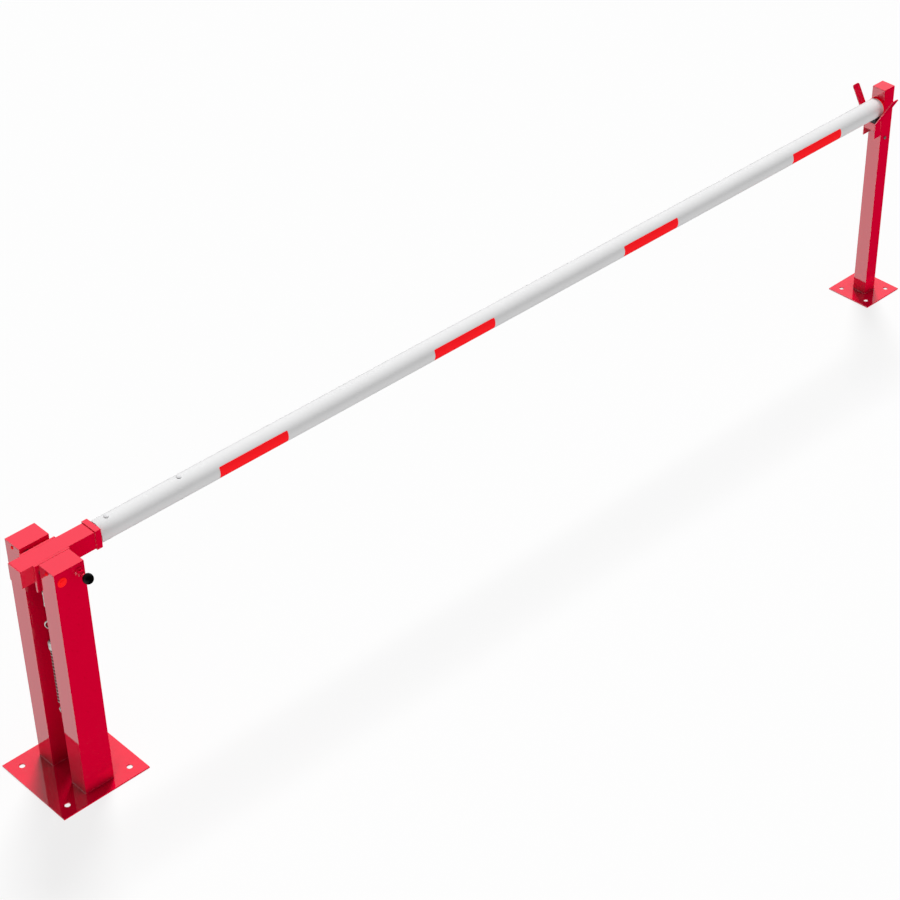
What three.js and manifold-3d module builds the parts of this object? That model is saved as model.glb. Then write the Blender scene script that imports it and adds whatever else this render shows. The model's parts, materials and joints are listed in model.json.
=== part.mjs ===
// Parking barrier gate: two pillars carry a boom that tips up and drops into a forked catch post.
// Millimetres. +X runs along the closed boom, +Z is up, and the origin is the centre of the
// pivot base plate's underside. "Front" is the -Y side, where the locking plunger is.
import * as THREE from 'three';
import { mergeVertices } from 'three/addons/utils/BufferGeometryUtils.js';
import Module from 'manifold-3d';

const wasm = await Module();
wasm.setup();

// ---------------------------------------------------------------- driving dimensions

const GAP = 0.3; // clearance that touching pieces keep
const FIT = 0.3; // radial clearance of a pin in its hole

const BASE = { size: 338, thick: 5, inset: 46, hole: 10 };
const PILLAR = { x: 3.5, depth: 110, width: 75, between: 101, top: 900, wall: 4, lid: 3 };
const LID = { skirt: 17, wall: 3, screwBelowTop: 13.5 };
const SCREW = { radius: 3, length: 14, head: 5.6 };
const PIVOT = { x: -26, z: 863, radius: 10, plug: 16.5, washer: 22, bush: 14 };
const BOOM = { z: 859.5, radius: 38, wall: 3, start: 189, end: 3960 };
const BRACKET = { size: 63, wall: 4, rear: -107, cap: 3 };
const CHEEK = { from: -61, to: 69, thick: 8, bottom: 791 };
const COLLAR = { size: 71, from: 167, to: 188, front: 6 };
const INSERT = { end: 560, wall: 4 };
const BOLT = { xs: [235, 516], radius: 6, headRadius: 9, headHeight: 4.5, tail: 10 };
const NUT = { across: 10.5, thick: 8 };
const STICKER = { count: 4, first: 649, pitch: 924, length: 280, halfAngle: 33, thick: 0.5 };
// The plunger is drawn pulled out. It travels 12 mm towards +Y to lock.
const PLUNGER = { x: 35, z: 870, radius: 5, tipY: -41, travel: 12, collar: 9, ball: 17.5, ballY: -173.5 };
const SLEEVE = { radius: 11, flange: 15, flangeThick: 4, end: -143 };
const PADLOCK = { radius: 4.5, pinRadius: 2.5, fromEnd: 7 };
const RETURN = { meanRadius: 7.2, wire: 0.9, turns: 7 };
// The balance spring hangs from a lug under the bracket and is looped round a stud in the front pillar.
const SPRING = { x: -14, lugZ: 806, studZ: 262, foot: 293, meanRadius: 11, wire: 1.9, pitch: 13.8 };
const LOOP = { radius: 10, open: 30, neckFrom: 14.5, neckTo: 21 };
const LUG = { half: 10, hole: 5, thick: 6 };
const STUD = { radius: 6, head: 10, headThick: 8, rim: 9, rimThick: 4, end: 10 };
const EYE = { radius: 9, wire: 2.3 };
const TENSIONER = { top: 748, bottom: 690, radius: 10, shank: 3.5, solidEnd: 12, window: 9, turn: -43 };
const LINK = { radius: 10, wire: 2.3 };
const HOOK = { z: 614, radius: 15, wire: 3, sweep: 260 };
const TOP_PLUG = { from: 518, to: 550, radius: 16, spigot: 8.5, spigotFoot: 494 };
const CATCH = { x: 3998, plate: 200, inset: 36.4, hole: 9, post: 60, wall: 3, top: 940 };
const FORK = { x: 3930, half: 28.5, thick: 4, bottom: 741, bend: 806, top: 929, lean: 30 };
const FORK_EDGE = { corner: 8, weldGap: 1.8 };
const CRADLE = { plateFoot: 774, shelfTop: 806, shelf: 4, pad: 24, mouthBelow: 30 };
const CROSS_BOLT = { z: 724, setBack: 4, radius: 4, hex: 7.4, head: 5.3, nut: 6.5, tail: 12 };

const pillarY = (PILLAR.between + PILLAR.width) / 2;
const pillarOuter = PILLAR.between / 2 + PILLAR.width;
const pillarInner = PILLAR.between / 2;
const pillarBack = PILLAR.x - PILLAR.depth / 2;
const boxHalf = BRACKET.size / 2;
const boxBottom = BOOM.z - boxHalf;
const boxTop = BOOM.z + boxHalf;
const cheekInner = boxHalf + GAP;
const cheekOuter = cheekInner + CHEEK.thick;
const catchFace = CATCH.x - CATCH.post / 2;
const screwZ = PILLAR.top - LID.screwBelowTop;

// ---------------------------------------------------------------- materials

function surface(color, roughness, metalness) {
  return new THREE.MeshStandardMaterial({ color, roughness, metalness });
}

const redPaint = surface('#c4002c', 0.15, 0.0);
const whitePaint = surface('#dcdcdc', 0.35, 0.0);
const redPlastic = surface('#ff1f1a', 0.4, 0.0);
const reflective = surface('#ea0216', 0.3, 0.0);
const blackPlastic = surface('#0a0a0a', 0.25, 0.0);
const zinc = surface('#9a9c9a', 0.35, 0.9);
const bronze = surface('#a8793a', 0.4, 0.9);
const nylon = surface('#d8d6cc', 0.6, 0.0);
const rubber = surface('#2b2b2b', 0.8, 0.0);

// ---------------------------------------------------------------- shapes and booleans

const gate = new THREE.Group();

function solid(geometry) {
  const plain = geometry.index ? geometry.toNonIndexed() : geometry.clone();
  plain.deleteAttribute('normal');
  plain.deleteAttribute('uv');
  const merged = mergeVertices(plain, 1e-4);
  const corners = Array.from(merged.index.array);
  const triangles = [];
  for (let i = 0; i < corners.length; i += 3) {
    const [a, b, c] = corners.slice(i, i + 3);
    if (a !== b && b !== c && c !== a) triangles.push(a, b, c);
  }
  return new wasm.Manifold(
    new wasm.Mesh({
      numProp: 3,
      vertProperties: new Float32Array(merged.attributes.position.array),
      triVerts: new Uint32Array(triangles),
    }),
  );
}

function toGeometry(manifold) {
  const mesh = manifold.getMesh();
  const geometry = new THREE.BufferGeometry();
  geometry.setAttribute('position', new THREE.BufferAttribute(new Float32Array(mesh.vertProperties), 3));
  geometry.setIndex(new THREE.BufferAttribute(new Uint32Array(mesh.triVerts), 1));
  geometry.computeVertexNormals();
  return geometry;
}

function cut(body, ...tools) {
  return toGeometry(tools.reduce((left, tool) => left.subtract(solid(tool)), solid(body)));
}

function join(...bodies) {
  const [first, ...rest] = bodies.map(solid);
  return toGeometry(rest.reduce((sum, body) => sum.add(body), first));
}

function add(name, geometry, material) {
  const mesh = new THREE.Mesh(geometry, material);
  mesh.name = name;
  gate.add(mesh);
  return mesh;
}

function box(x0, x1, y0, y1, z0, z1) {
  const geometry = new THREE.BoxGeometry(x1 - x0, y1 - y0, z1 - z0);
  return geometry.translate((x0 + x1) / 2, (y0 + y1) / 2, (z0 + z1) / 2);
}

function rodX(radius, x0, x1, y, z, sides = 24) {
  const geometry = new THREE.CylinderGeometry(radius, radius, x1 - x0, sides);
  return geometry.rotateZ(-Math.PI / 2).translate((x0 + x1) / 2, y, z);
}

function rodY(radius, y0, y1, x, z, sides = 20) {
  return new THREE.CylinderGeometry(radius, radius, y1 - y0, sides).translate(x, (y0 + y1) / 2, z);
}

function rodZ(radius, z0, z1, x, y, sides = 20) {
  const geometry = new THREE.CylinderGeometry(radius, radius, z1 - z0, sides);
  return geometry.rotateX(Math.PI / 2).translate(x, y, (z0 + z1) / 2);
}

// A turned piece: the profile is [radius, height] pairs, and its axis is along +Z.
function turned(profile, sides = 20) {
  const points = profile.map(([radius, height]) => new THREE.Vector2(radius, height));
  return new THREE.LatheGeometry(points, sides).rotateX(Math.PI / 2);
}

// A plate drawn in the XZ plane and thickened from y0 to y1.
function plateXZ(shape, y0, y1, curveSegments = 8) {
  const geometry = new THREE.ExtrudeGeometry(shape, { depth: y1 - y0, bevelEnabled: false, curveSegments });
  return geometry.rotateX(Math.PI / 2).translate(0, y1, 0);
}

function squarePlate(x, size, thick, inset, holeRadius) {
  const reach = size / 2 - inset;
  const holes = [-1, 1].flatMap((sx) =>
    [-1, 1].map((sy) => rodZ(holeRadius, -1, thick + 1, x + sx * reach, sy * reach)),
  );
  return cut(box(x - size / 2, x + size / 2, -size / 2, size / 2, 0, thick), ...holes);
}

// ---------------------------------------------------------------- pivot stand

function pillarBody(side) {
  const y0 = side * pillarY - PILLAR.width / 2;
  const y1 = side * pillarY + PILLAR.width / 2;
  const x1 = pillarBack + PILLAR.depth;
  const w = PILLAR.wall;
  const z0 = BASE.thick + GAP;
  const z1 = PILLAR.top - PILLAR.lid - GAP;
  const cuts = [
    box(pillarBack + w, x1 - w, y0 + w, y1 - w, 0, PILLAR.top),
    rodY(PIVOT.radius + FIT, y0 - 1, y1 + 1, PIVOT.x, PIVOT.z),
    rodX(SCREW.radius + FIT, pillarBack - 1, pillarBack + w + 1, side * pillarY, screwZ, 12),
  ];
  if (side < 0) {
    cuts.push(rodY(PLUNGER.radius + FIT, y0 - 1, y1 + 1, PLUNGER.x, PLUNGER.z));
    cuts.push(rodY(STUD.radius + FIT, y1 - w - 1, y1 + 1, SPRING.x, SPRING.studZ));
  }
  return cut(box(pillarBack, x1, y0, y1, z0, z1), ...cuts);
}

function pillarLid(side) {
  const y0 = side * pillarY - PILLAR.width / 2;
  const y1 = side * pillarY + PILLAR.width / 2;
  const x1 = pillarBack + PILLAR.depth;
  const inset = PILLAR.wall + GAP;
  const under = PILLAR.top - PILLAR.lid;
  const skirtFoot = under - LID.skirt;
  const skirt = box(pillarBack + inset, x1 - inset, y0 + inset, y1 - inset, skirtFoot, under + 1);
  const hollowInset = inset + LID.wall;
  const hollow = box(
    pillarBack + hollowInset,
    x1 - hollowInset,
    y0 + hollowInset,
    y1 - hollowInset,
    skirtFoot - 1,
    under,
  );
  const holeEnd = pillarBack + hollowInset + 1;
  const hole = rodX(SCREW.radius + FIT, pillarBack, holeEnd, side * pillarY, screwZ, 12);
  const lid = join(box(pillarBack, x1, y0, y1, under, PILLAR.top), skirt);
  return cut(lid, hollow, hole);
}

// A shank below zero height and a shallow domed head above it.
function lidScrew() {
  return turned([
    [0, -SCREW.length],
    [SCREW.radius, -SCREW.length],
    [SCREW.radius, 0],
    [SCREW.head, 0],
    [SCREW.head, 1.4],
    [SCREW.head * 0.75, 2.8],
    [0, 3.2],
  ], 16);
}

// A flanged disc with a groove round its raised middle.
function pivotPlug() {
  return turned([
    [0, 0],
    [PIVOT.plug, 0],
    [PIVOT.plug, 2.2],
    [PIVOT.plug - 1.2, 3.2],
    [10.5, 3.2],
    [10, 2.4],
    [9.4, 2.4],
    [9, 4.2],
    [7, 5],
    [0, 5.2],
  ]);
}

add('pivot_base_plate', squarePlate(0, BASE.size, BASE.thick, BASE.inset, BASE.hole), redPaint);
for (const [label, side] of [['front', -1], ['rear', 1]]) {
  add(`${label}_pillar`, pillarBody(side), redPaint);
  add(`${label}_pillar_cap`, pillarLid(side), redPaint);
  const screw = add(`${label}_cap_screw`, lidScrew(), redPlastic);
  screw.rotation.y = -Math.PI / 2;
  screw.position.set(pillarBack - GAP, side * pillarY, screwZ);
  const plug = add(`${label}_pivot_plug`, pivotPlug(), redPlastic);
  plug.rotation.x = side < 0 ? Math.PI / 2 : -Math.PI / 2;
  plug.position.set(PIVOT.x, side * (pillarOuter + GAP), PIVOT.z);
  const [y0, y1] = [side * (cheekOuter + GAP), side * (pillarInner - GAP)].sort((a, b) => a - b);
  const washer = rodY(PIVOT.washer, y0, y1, PIVOT.x, PIVOT.z);
  const bore = rodY(PIVOT.radius + FIT, -pillarInner, pillarInner, PIVOT.x, PIVOT.z);
  add(`${label}_thrust_washer`, cut(washer, bore), nylon);
}
const shaftEnd = pillarOuter - 2 * GAP;
add('pivot_shaft', rodY(PIVOT.radius, -shaftEnd, shaftEnd, PIVOT.x, PIVOT.z), zinc);

function anchorStud() {
  const headY = -pillarInner - PILLAR.wall - GAP;
  return join(
    rodY(STUD.radius, headY - 1, STUD.end - 1, SPRING.x, SPRING.studZ),
    rodY(STUD.head, headY - STUD.headThick, headY, SPRING.x, SPRING.studZ, 6),
    rodY(STUD.rim, STUD.end - STUD.rimThick, STUD.end, SPRING.x, SPRING.studZ),
  );
}
add('spring_anchor_stud', anchorStud(), zinc);

// ---------------------------------------------------------------- locking plunger

// A padlock goes down through the sleeve and the pin when the pin is pushed in.
function padlockHole(radius, pulledOut) {
  const y = SLEEVE.end + PADLOCK.fromEnd - pulledOut;
  return rodZ(radius, PLUNGER.z - 2 * SLEEVE.radius, PLUNGER.z + 2 * SLEEVE.radius, PLUNGER.x, y, 16);
}

function plungerSleeve() {
  const start = -pillarOuter - GAP;
  const barrel = rodY(SLEEVE.radius, SLEEVE.end, start, PLUNGER.x, PLUNGER.z);
  const flange = rodY(SLEEVE.flange, start - SLEEVE.flangeThick, start, PLUNGER.x, PLUNGER.z);
  const bore = rodY(PLUNGER.radius + FIT, SLEEVE.end - 1, start + 1, PLUNGER.x, PLUNGER.z);
  return cut(join(barrel, flange), bore, padlockHole(PADLOCK.radius, 0));
}

const collarThick = 4;
const collarY = -pillarInner - PILLAR.wall - 0.5 - PLUNGER.travel;

const ballBore = 5.5; // the pin's end stands this far short of the ball's centre

function plungerPin() {
  const shank = rodY(PLUNGER.radius, PLUNGER.ballY + ballBore + FIT, PLUNGER.tipY, PLUNGER.x, PLUNGER.z);
  const stop = rodY(PLUNGER.collar, collarY - collarThick, collarY, PLUNGER.x, PLUNGER.z);
  return cut(join(shank, stop), padlockHole(PADLOCK.pinRadius, PLUNGER.travel));
}

function plungerKnob() {
  const ball = new THREE.SphereGeometry(PLUNGER.ball, 20, 12).translate(PLUNGER.x, PLUNGER.ballY, PLUNGER.z);
  const boreEnd = PLUNGER.ballY + PLUNGER.ball + 1;
  const bore = rodY(PLUNGER.radius + FIT, PLUNGER.ballY + ballBore, boreEnd, PLUNGER.x, PLUNGER.z);
  return cut(ball, bore);
}

class Helix extends THREE.Curve {
  constructor(radius, height, turns) {
    super();
    this.radius = radius;
    this.height = height;
    this.turns = turns;
  }

  getPoint(t, target = new THREE.Vector3()) {
    const angle = t * this.turns * 2 * Math.PI;
    return target.set(this.radius * Math.cos(angle), this.radius * Math.sin(angle), t * this.height);
  }
}

function wireAlong(curve, wireRadius, steps, sides) {
  const corner = (_, k) => {
    const angle = (2 * Math.PI * k) / sides;
    return new THREE.Vector2(wireRadius * Math.cos(angle), wireRadius * Math.sin(angle));
  };
  const section = new THREE.Shape(Array.from({ length: sides }, corner));
  return new THREE.ExtrudeGeometry(section, { steps, bevelEnabled: false, extrudePath: curve });
}

add('plunger_sleeve', plungerSleeve(), redPaint);
add('plunger_pin', plungerPin(), zinc);
add('plunger_knob', plungerKnob(), blackPlastic);

// The return spring is pressed flat between the pillar's outer wall and the pin's collar.
const returnFrom = -pillarOuter + PILLAR.wall + RETURN.wire + 0.5;
const returnTo = collarY - collarThick - RETURN.wire - 0.5;
const returnHelix = new Helix(RETURN.meanRadius, returnTo - returnFrom, RETURN.turns);
const plungerSpring = add(
  'plunger_spring',
  wireAlong(returnHelix, RETURN.wire, RETURN.turns * 9, 4),
  zinc,
);
plungerSpring.rotation.x = -Math.PI / 2;
plungerSpring.position.set(PLUNGER.x, returnFrom, PLUNGER.z);

// ---------------------------------------------------------------- boom bracket

function bracketTube() {
  const x0 = BRACKET.rear + BRACKET.cap + GAP;
  const x1 = COLLAR.to - COLLAR.front - GAP;
  const inner = boxHalf - BRACKET.wall;
  return cut(
    box(x0, x1, -boxHalf, boxHalf, boxBottom, boxTop),
    box(x0 - 1, x1 + 1, -inner, inner, BOOM.z - inner, BOOM.z + inner),
    rodY(PIVOT.bush + FIT, -boxHalf - 1, boxHalf + 1, PIVOT.x, PIVOT.z),
    rodY(PLUNGER.radius + 1, -boxHalf - 1, 0, PLUNGER.x, PLUNGER.z),
  );
}

// The cheek's second hole lies a quarter turn from the first, so the pin also locks the raised boom.
function cheek(side) {
  const y0 = side < 0 ? -cheekOuter : cheekInner;
  const armX = PLUNGER.x - PIVOT.x;
  const armZ = PLUNGER.z - PIVOT.z;
  const cuts = [rodY(PIVOT.bush + FIT, y0 - 1, y0 + CHEEK.thick + 1, PIVOT.x, PIVOT.z)];
  if (side < 0) {
    const hole = (x, z) => rodY(PLUNGER.radius + 0.5, y0 - 1, y0 + CHEEK.thick + 1, x, z);
    cuts.push(hole(PLUNGER.x, PLUNGER.z), hole(PIVOT.x + armZ, PIVOT.z - armX));
  }
  return cut(box(CHEEK.from, CHEEK.to, y0, y0 + CHEEK.thick, CHEEK.bottom, boxTop), ...cuts);
}

function collar() {
  const half = COLLAR.size / 2;
  const pocket = boxHalf + GAP;
  return cut(
    box(COLLAR.from, COLLAR.to, -half, half, BOOM.z - half, BOOM.z + half),
    box(COLLAR.from - 1, COLLAR.to - COLLAR.front, -pocket, pocket, BOOM.z - pocket, BOOM.z + pocket),
  );
}

function bush(side) {
  const y0 = side < 0 ? -cheekOuter + GAP : boxHalf - BRACKET.wall + GAP;
  const y1 = side < 0 ? -boxHalf + BRACKET.wall - GAP : cheekOuter - GAP;
  return cut(
    rodY(PIVOT.bush, y0, y1, PIVOT.x, PIVOT.z),
    rodY(PIVOT.radius + FIT, y0 - 1, y1 + 1, PIVOT.x, PIVOT.z),
  );
}

function springLug() {
  const halfThick = LUG.thick / 2;
  const outline = new THREE.Shape();
  outline.moveTo(SPRING.x + LUG.half, boxBottom - GAP);
  outline.lineTo(SPRING.x - LUG.half, boxBottom - GAP);
  outline.lineTo(SPRING.x - LUG.half, SPRING.lugZ);
  outline.absarc(SPRING.x, SPRING.lugZ, LUG.half, Math.PI, 2 * Math.PI, false);
  return cut(
    plateXZ(outline, -halfThick, halfThick),
    rodY(LUG.hole, -halfThick - 1, halfThick + 1, SPRING.x, SPRING.lugZ),
  );
}

add('bracket_tube', bracketTube(), redPaint);
add(
  'bracket_rear_cap',
  box(BRACKET.rear, BRACKET.rear + BRACKET.cap, -boxHalf, boxHalf, boxBottom, boxTop),
  redPaint,
);
add('bracket_collar', collar(), redPaint);
add('spring_lug', springLug(), redPaint);
for (const [label, side] of [['front', -1], ['rear', 1]]) {
  add(`${label}_cheek`, cheek(side), redPaint);
  add(`${label}_bearing_bush`, bush(side), bronze);
}

// ---------------------------------------------------------------- boom

function pipe(radius, wall, x0, x1) {
  const holes = BOLT.xs
    .filter((x) => x < x1)
    .map((x) => rodZ(BOLT.radius + FIT, BOOM.z - 60, BOOM.z + 60, x, 0, 16));
  const bore = rodX(radius - wall, x0 - 1, x1 + 1, 0, BOOM.z, 36);
  return cut(rodX(radius, x0, x1, 0, BOOM.z, 36), bore, ...holes);
}

function boomBolt(x) {
  const seat = BOOM.z + BOOM.radius + GAP;
  const shank = rodZ(BOLT.radius, BOOM.z - BOOM.radius - BOLT.tail, seat + 1, x, 0, 16);
  const head = turned([
    [0, 0],
    [BOLT.headRadius, 0],
    [BOLT.headRadius, 1],
    [BOLT.headRadius * 0.75, BOLT.headHeight * 0.75],
    [0, BOLT.headHeight],
  ], 20).translate(x, 0, seat);
  return join(shank, head);
}

function boomNut(x) {
  const seat = BOOM.z - BOOM.radius - GAP;
  return cut(
    rodZ(NUT.across, seat - NUT.thick, seat, x, 0, 6),
    rodZ(BOLT.radius + FIT, seat - NUT.thick - 1, seat + 1, x, 0, 16),
  );
}

function endPlug() {
  const spigot = BOOM.radius - BOOM.wall - 2 * FIT;
  return join(
    rodX(spigot, BOOM.end - 24, BOOM.end + 1, 0, BOOM.z, 36),
    rodX(BOOM.radius + 1.6, BOOM.end + GAP, BOOM.end + GAP + 3, 0, BOOM.z, 36),
  );
}

// A strip of the boom's curve, in the YZ plane and then drawn out along X.
function sticker(side) {
  const r0 = BOOM.radius + GAP;
  const r1 = r0 + STICKER.thick;
  const half = THREE.MathUtils.degToRad(STICKER.halfAngle);
  const section = new THREE.Shape();
  section.absarc(0, 0, r1, -half, half, false);
  section.absarc(0, 0, r0, half, -half, true);
  const geometry = new THREE.ExtrudeGeometry(section, {
    depth: STICKER.length,
    bevelEnabled: false,
    curveSegments: 8,
  });
  const across = new THREE.Vector3(0, side, 0);
  const upward = new THREE.Vector3(0, 0, side);
  const along = new THREE.Vector3(1, 0, 0);
  return geometry.applyMatrix4(new THREE.Matrix4().makeBasis(across, upward, along));
}

add('boom_insert', pipe(BOOM.radius - BOOM.wall - FIT, INSERT.wall, COLLAR.to + GAP, INSERT.end), zinc);
add('boom_tube', pipe(BOOM.radius, BOOM.wall, BOOM.start, BOOM.end), whitePaint);
add('boom_end_plug', endPlug(), redPlastic);
for (const [index, label] of ['inner', 'outer'].entries()) {
  add(`${label}_boom_bolt`, boomBolt(BOLT.xs[index]), whitePaint);
  add(`${label}_boom_nut`, boomNut(BOLT.xs[index]), zinc);
}

// ---------------------------------------------------------------- spring linkage

const linkTurn = THREE.MathUtils.degToRad(TENSIONER.turn);

function inLinkage(geometry, turn = 0) {
  return geometry.rotateZ(turn).translate(SPRING.x, 0, 0);
}

// A wire ring that stands upright, with its own axis along X.
function ringX(radius, wire, z) {
  return new THREE.TorusGeometry(radius, wire, 6, 20).rotateY(Math.PI / 2).translate(0, 0, z);
}

const eyeZ = SPRING.lugZ + 0.5 - EYE.radius;
const linkRingZ = HOOK.z + HOOK.radius - HOOK.wire - LINK.wire - 0.7 + LINK.radius;

function tensionEye() {
  const shankFoot = TENSIONER.top - TENSIONER.solidEnd - 1;
  const shank = rodZ(TENSIONER.shank, shankFoot, eyeZ - EYE.radius, 0, 0, 16);
  return inLinkage(join(ringX(EYE.radius, EYE.wire, eyeZ), shank));
}

function tensionerBody() {
  const windowHalf = TENSIONER.window / 2;
  const windowBottom = TENSIONER.bottom + TENSIONER.solidEnd;
  const windowTop = TENSIONER.top - TENSIONER.solidEnd;
  const body = cut(
    rodZ(TENSIONER.radius, TENSIONER.bottom, TENSIONER.top, 0, 0),
    rodZ(TENSIONER.shank + FIT, TENSIONER.bottom - 1, TENSIONER.top + 1, 0, 0, 16),
    box(-windowHalf, windowHalf, -2 * TENSIONER.radius, 2 * TENSIONER.radius, windowBottom, windowTop),
  );
  return inLinkage(body, linkTurn);
}

function tensionLink() {
  const shankTop = TENSIONER.bottom + TENSIONER.solidEnd + 1;
  const shank = rodZ(TENSIONER.shank, linkRingZ + LINK.radius, shankTop, 0, 0, 16);
  return inLinkage(join(ringX(LINK.radius, LINK.wire, linkRingZ), shank), linkTurn);
}

class HookArc extends THREE.Curve {
  getPoint(t, target = new THREE.Vector3()) {
    const angle = THREE.MathUtils.degToRad(-90 - HOOK.sweep * t);
    return target.set(HOOK.radius * Math.cos(angle), 0, HOOK.z + HOOK.radius * Math.sin(angle));
  }
}

function springHook() {
  const shank = rodZ(HOOK.wire, TOP_PLUG.from + 4, HOOK.z - HOOK.radius, 0, 0, 16);
  return inLinkage(join(wireAlong(new HookArc(), HOOK.wire, 22, 6), shank), linkTurn);
}

function springTopPlug() {
  const outside = turned([
    [0, TOP_PLUG.spigotFoot],
    [TOP_PLUG.spigot, TOP_PLUG.spigotFoot],
    [TOP_PLUG.spigot, TOP_PLUG.from],
    [TOP_PLUG.radius - 2, TOP_PLUG.from],
    [TOP_PLUG.radius, TOP_PLUG.from + 3],
    [TOP_PLUG.radius, TOP_PLUG.to - 6],
    [TOP_PLUG.radius - 5, TOP_PLUG.to],
    [0, TOP_PLUG.to],
  ]);
  const bore = rodZ(HOOK.wire + FIT, TOP_PLUG.spigotFoot - 1, TOP_PLUG.to + 1, 0, 0, 16);
  return inLinkage(cut(outside, bore));
}

// One wire: an open loop round the stud, a neck up the middle, a flare out to the coil, and the coil.
function balanceSpring() {
  const points = [];
  const arcSteps = 12;
  for (let step = 0; step <= arcSteps; step += 1) {
    const swept = LOOP.open + ((360 - 2 * LOOP.open) * step) / arcSteps;
    const angle = THREE.MathUtils.degToRad(90 - swept);
    const z = SPRING.studZ + LOOP.radius * Math.sin(angle);
    points.push(new THREE.Vector3(LOOP.radius * Math.cos(angle), 0, z));
  }
  points.push(new THREE.Vector3(0, 0, SPRING.studZ + LOOP.neckFrom));
  const neckTop = SPRING.studZ + LOOP.neckTo;
  points.push(new THREE.Vector3(0, 0, neckTop));

  const stepsPerTurn = 9;
  const flareSteps = 6;
  const head = TOP_PLUG.from - SPRING.wire - GAP;
  const turns = Math.round((head - SPRING.foot) / SPRING.pitch);
  const helixSteps = turns * stepsPerTurn;
  for (let step = 1; step <= flareSteps + helixSteps; step += 1) {
    const out = Math.min(step / flareSteps, 1);
    const angle = (2 * Math.PI * (step - flareSteps)) / stepsPerTurn;
    const flareZ = neckTop + (SPRING.foot - neckTop) * out;
    const climbed = Math.max(step - flareSteps, 0) / helixSteps;
    const radius = SPRING.meanRadius * out;
    const z = flareZ + (head - SPRING.foot) * climbed;
    points.push(new THREE.Vector3(radius * Math.cos(angle), radius * Math.sin(angle), z));
  }
  const wire = new THREE.CatmullRomCurve3(points, false, 'centripetal');
  wire.arcLengthDivisions = 4000;
  return inLinkage(wireAlong(wire, SPRING.wire, helixSteps + 26, 5));
}

add('tension_eye', tensionEye(), zinc);
add('tensioner_body', tensionerBody(), zinc);
add('tension_link', tensionLink(), zinc);
add('spring_hook', springHook(), zinc);
add('spring_top_plug', springTopPlug(), zinc);
add('balance_spring', balanceSpring(), zinc);

// ---------------------------------------------------------------- stickers

for (const [label, side] of [['front', -1], ['rear', 1]]) {
  for (let index = 0; index < STICKER.count; index += 1) {
    const strip = add(`${label}_sticker_${index + 1}`, sticker(side), reflective);
    strip.position.set(STICKER.first + index * STICKER.pitch, 0, BOOM.z);
  }
}

// ---------------------------------------------------------------- catch post

const crossBoltX = CATCH.x - CROSS_BOLT.setBack;

function catchPost() {
  const half = CATCH.post / 2;
  const inner = half - CATCH.wall;
  const z0 = BASE.thick + GAP;
  const z1 = CATCH.top - CATCH.wall - GAP;
  return cut(
    box(CATCH.x - half, CATCH.x + half, -half, half, z0, z1),
    box(CATCH.x - inner, CATCH.x + inner, -inner, inner, z0 - 1, z1 + 1),
    rodY(CROSS_BOLT.radius + FIT, -half - 1, half + 1, crossBoltX, CROSS_BOLT.z, 16),
  );
}

// A side of the fork is one strip: upright beside the cradle, then bent outwards above it.
function forkSide(side) {
  const x1 = catchFace - FORK_EDGE.weldGap;
  const lean = THREE.MathUtils.degToRad(FORK.lean);
  const armLength = (FORK.top - FORK.bend) / Math.cos(lean);
  const upright = box(FORK.x, x1, -FORK.half, -FORK.half + FORK.thick, FORK.bottom, FORK.bend);
  const r = FORK_EDGE.corner;
  const outline = new THREE.Shape();
  outline.moveTo(FORK.x, -1);
  outline.lineTo(x1, -1);
  outline.lineTo(x1, armLength - r);
  outline.absarc(x1 - r, armLength - r, r, 0, Math.PI / 2, false);
  outline.absarc(FORK.x + r, armLength - r, r, Math.PI / 2, Math.PI, false);
  const arm = plateXZ(outline, 0, FORK.thick, 5).rotateX(lean).translate(0, -FORK.half, FORK.bend);
  const strip = join(upright, arm);
  return side < 0 ? strip : strip.rotateZ(Math.PI).translate(FORK.x + x1, 0, 0);
}

function cradlePad() {
  const padTop = BOOM.z - CRADLE.mouthBelow;
  const block = box(FORK.x + 1, BOOM.end - 1, -CRADLE.pad, CRADLE.pad, CRADLE.shelfTop + GAP, padTop);
  return cut(block, rodX(BOOM.radius + GAP, FORK.x - 5, catchFace + 5, 0, BOOM.z, 36));
}

add('catch_base_plate', squarePlate(CATCH.x, CATCH.plate, BASE.thick, CATCH.inset, CATCH.hole), redPaint);
add('catch_post', catchPost(), redPaint);
add(
  'catch_post_cap',
  box(
    CATCH.x - CATCH.post / 2,
    CATCH.x + CATCH.post / 2,
    -CATCH.post / 2,
    CATCH.post / 2,
    CATCH.top - CATCH.wall,
    CATCH.top,
  ),
  redPaint,
);
add('front_fork_side', forkSide(-1), redPaint);
add('rear_fork_side', forkSide(1), redPaint);

const cradleHalf = FORK.half - FORK.thick - GAP;
const shelfBottom = CRADLE.shelfTop - CRADLE.shelf;
add(
  'cradle_front_plate',
  box(FORK.x, FORK.x + FORK.thick, -cradleHalf, cradleHalf, CRADLE.plateFoot, shelfBottom - GAP),
  redPaint,
);
add(
  'cradle_shelf',
  box(
    FORK.x,
    catchFace - GAP,
    -cradleHalf,
    cradleHalf,
    shelfBottom,
    CRADLE.shelfTop,
  ),
  redPaint,
);
add('cradle_pad', cradlePad(), rubber);

const seatY = CATCH.post / 2 + GAP;

function crossBoltBody() {
  return join(
    rodY(CROSS_BOLT.radius, -seatY - 1, seatY + CROSS_BOLT.tail, crossBoltX, CROSS_BOLT.z, 16),
    rodY(CROSS_BOLT.hex, -seatY - CROSS_BOLT.head, -seatY, crossBoltX, CROSS_BOLT.z, 6),
  );
}

function crossNut() {
  return cut(
    rodY(CROSS_BOLT.hex, seatY, seatY + CROSS_BOLT.nut, crossBoltX, CROSS_BOLT.z, 6),
    rodY(CROSS_BOLT.radius + FIT, seatY - 1, seatY + CROSS_BOLT.nut + 1, crossBoltX, CROSS_BOLT.z, 16),
  );
}

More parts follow.
